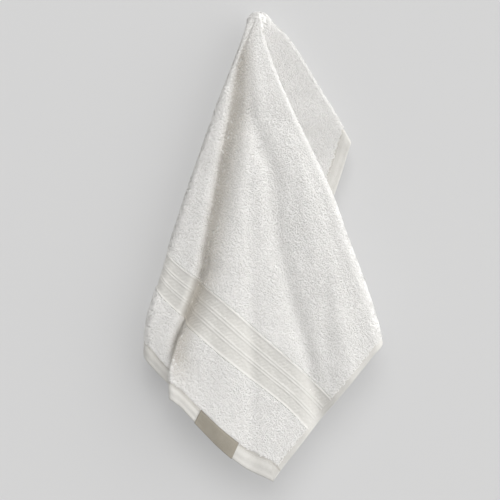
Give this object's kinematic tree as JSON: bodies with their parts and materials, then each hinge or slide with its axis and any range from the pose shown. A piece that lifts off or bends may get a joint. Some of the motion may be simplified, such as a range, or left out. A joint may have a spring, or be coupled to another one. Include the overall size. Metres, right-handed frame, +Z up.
{
  "type": "face towel",
  "caption": "Terry face towel hanging by one point in soft folds, with a flat woven band near the hem and a plain label.",
  "frame": {"origin": "the point under the towel's rounded tip where a hook's end bears, on the inner face of the cloth", "axes": "+Z up along the hang, +X to the right seen from the front, -Y out towards the viewer, and the wall would be on the +Y side"},
  "size_m": [0.3338, 0.0853, 0.6543],
  "materials": {
    "terry": "looped cotton pile, matte, with smooth hems and a flat ribbed band",
    "label_weave": "fine satin-woven tape, slightly glossy"
  },
  "bodies": {
    "root": {"towel": "terry", "label": "label_weave"}
  },
  "joints": []
}
